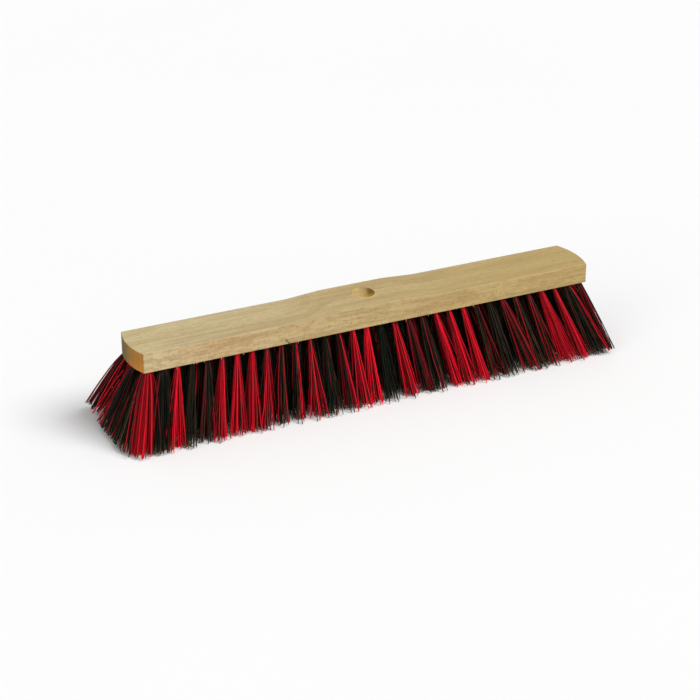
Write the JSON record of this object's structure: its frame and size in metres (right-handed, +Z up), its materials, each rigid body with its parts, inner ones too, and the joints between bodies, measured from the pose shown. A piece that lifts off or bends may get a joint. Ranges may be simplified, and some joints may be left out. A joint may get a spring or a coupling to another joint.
{
  "type": "push broom head",
  "caption": "Wide push-broom head: a hardwood block with a raised seat and a slanted handle socket, over rows of splayed red and dark bristle tufts.",
  "frame": {"origin": "on the floor under the bristle tips, at the middle of the head", "axes": "+X along the block, +Y towards the side that the handle leans to, +Z up from the bristle tips to the block"},
  "size_m": [0.6574, 0.15, 0.112],
  "materials": {
    "beech": "sanded, unvarnished",
    "red_fibre": "satin",
    "dark_fibre": "matte natural palm fibre",
    "mixed_fibre": "red and dark fibres mixed",
    "anchor_wire": "flat wire"
  },
  "bodies": {
    "root": {"block": "beech", "front_row_red_tufts": "red_fibre", "front_row_dark_tufts": "dark_fibre", "front_row_mixed_tufts": "mixed_fibre", "front_row_anchors": "anchor_wire", "second_row_red_tufts": "red_fibre", "second_row_dark_tufts": "dark_fibre", "second_row_mixed_tufts": "mixed_fibre", "second_row_anchors": "anchor_wire", "middle_row_red_tufts": "red_fibre", "middle_row_dark_tufts": "dark_fibre", "middle_row_mixed_tufts": "mixed_fibre", "middle_row_anchors": "anchor_wire", "fourth_row_red_tufts": "red_fibre", "fourth_row_dark_tufts": "dark_fibre", "fourth_row_mixed_tufts": "mixed_fibre", "fourth_row_anchors": "anchor_wire", "back_row_red_tufts": "red_fibre", "back_row_dark_tufts": "dark_fibre", "back_row_mixed_tufts": "mixed_fibre", "back_row_anchors": "anchor_wire"}
  },
  "joints": []
}
